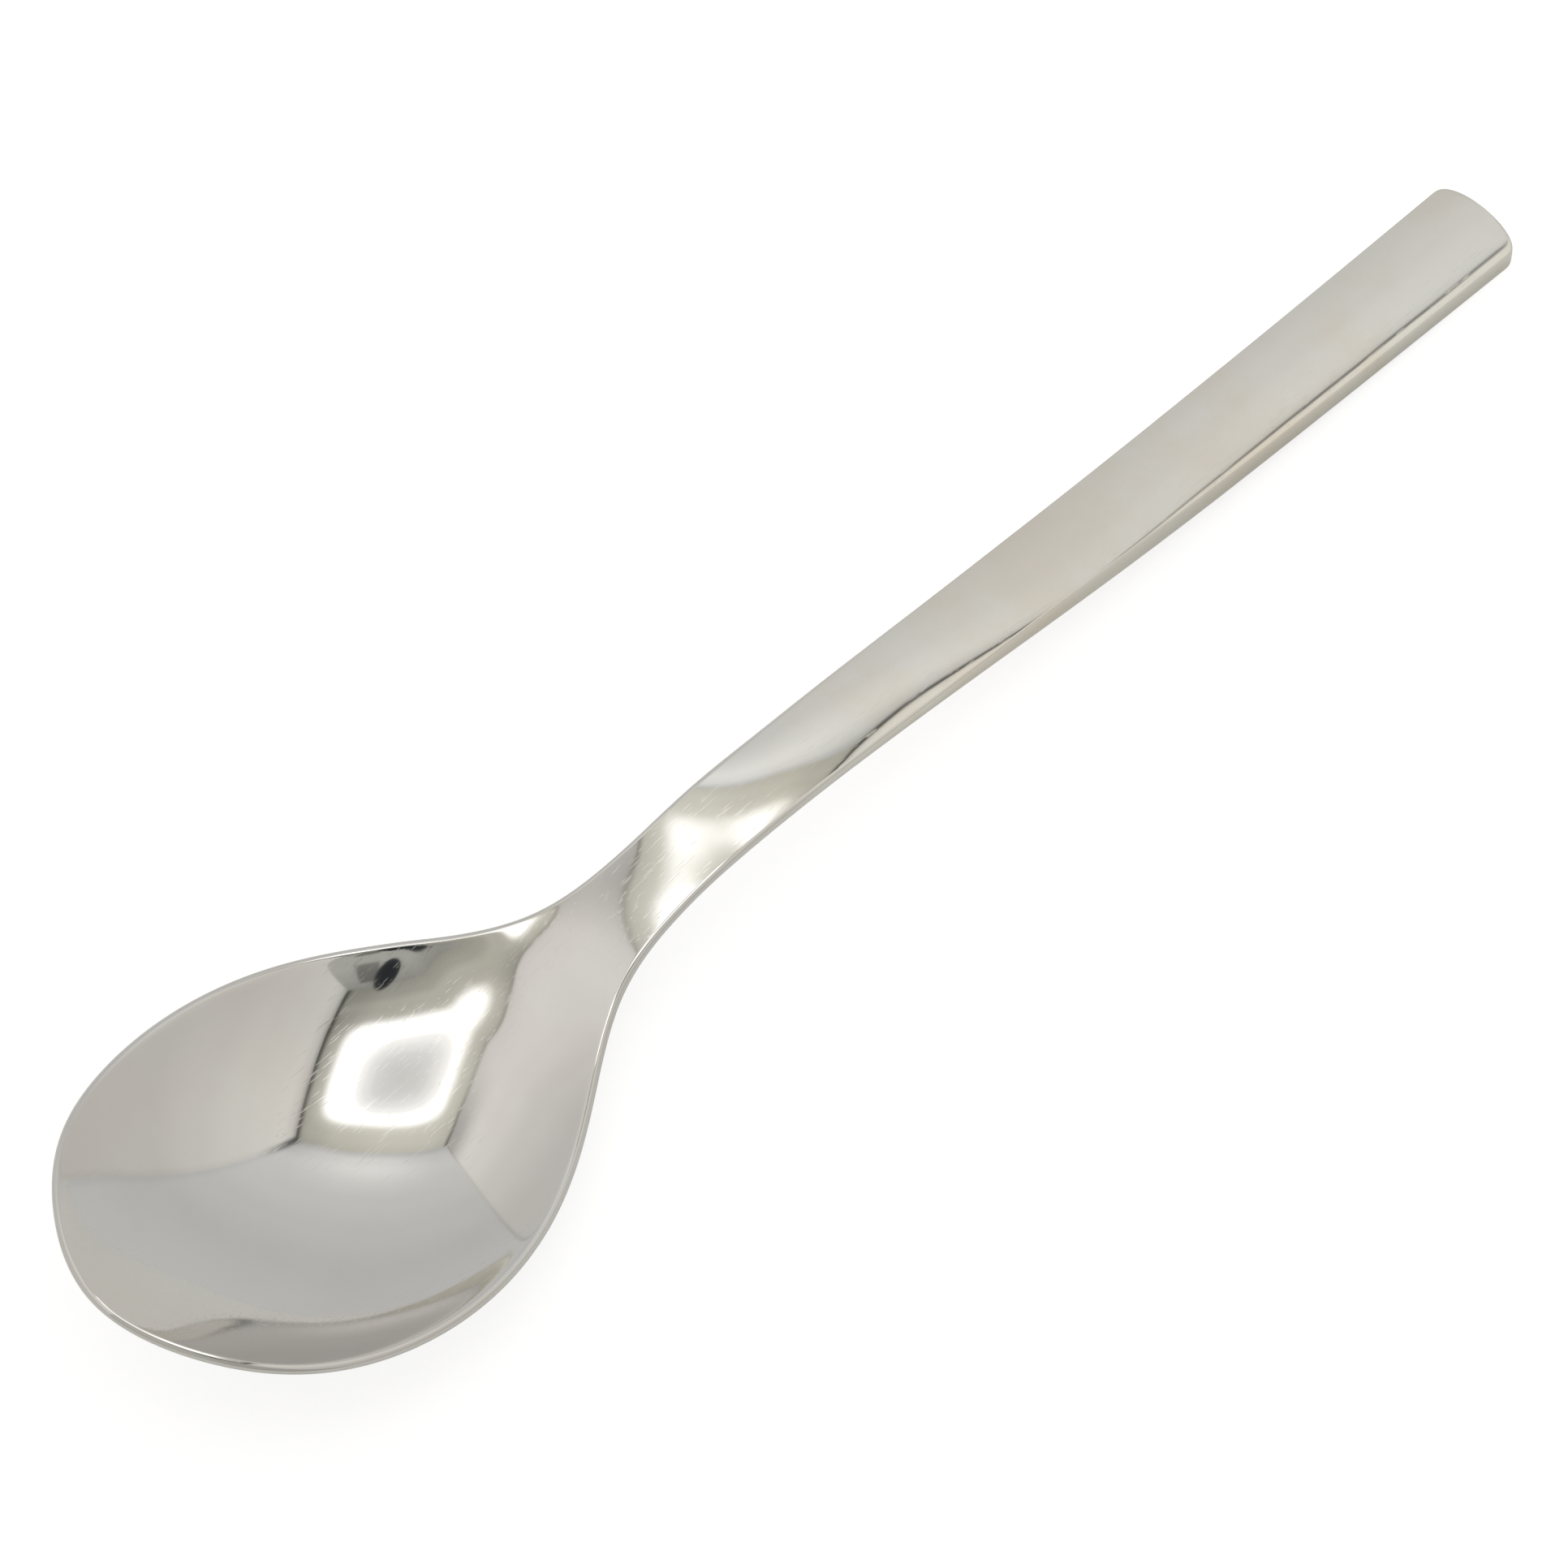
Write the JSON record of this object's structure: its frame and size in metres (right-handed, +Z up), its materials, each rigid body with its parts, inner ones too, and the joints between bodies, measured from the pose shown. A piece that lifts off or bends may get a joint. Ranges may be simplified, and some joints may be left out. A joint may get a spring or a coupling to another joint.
{
  "type": "spoon",
  "caption": "Small polished metal spoon with a dished egg-shaped bowl and a slim, gently curved handle that widens to a softly bowed end, for serving and stirring.",
  "frame": {"origin": "centre of the spoon's length and width, on the table top that it lies on", "axes": "+X from the bowl's tip to the handle's end, +Z up out of the bowl"},
  "size_m": [0.146, 0.0336, 0.0147],
  "materials": {
    "polished_metal": "mirror-polished silver-coloured metal with fine handling scratches and a faint warm tarnish"
  },
  "bodies": {
    "root": {"bowl": "polished_metal", "handle": "polished_metal"}
  },
  "joints": []
}
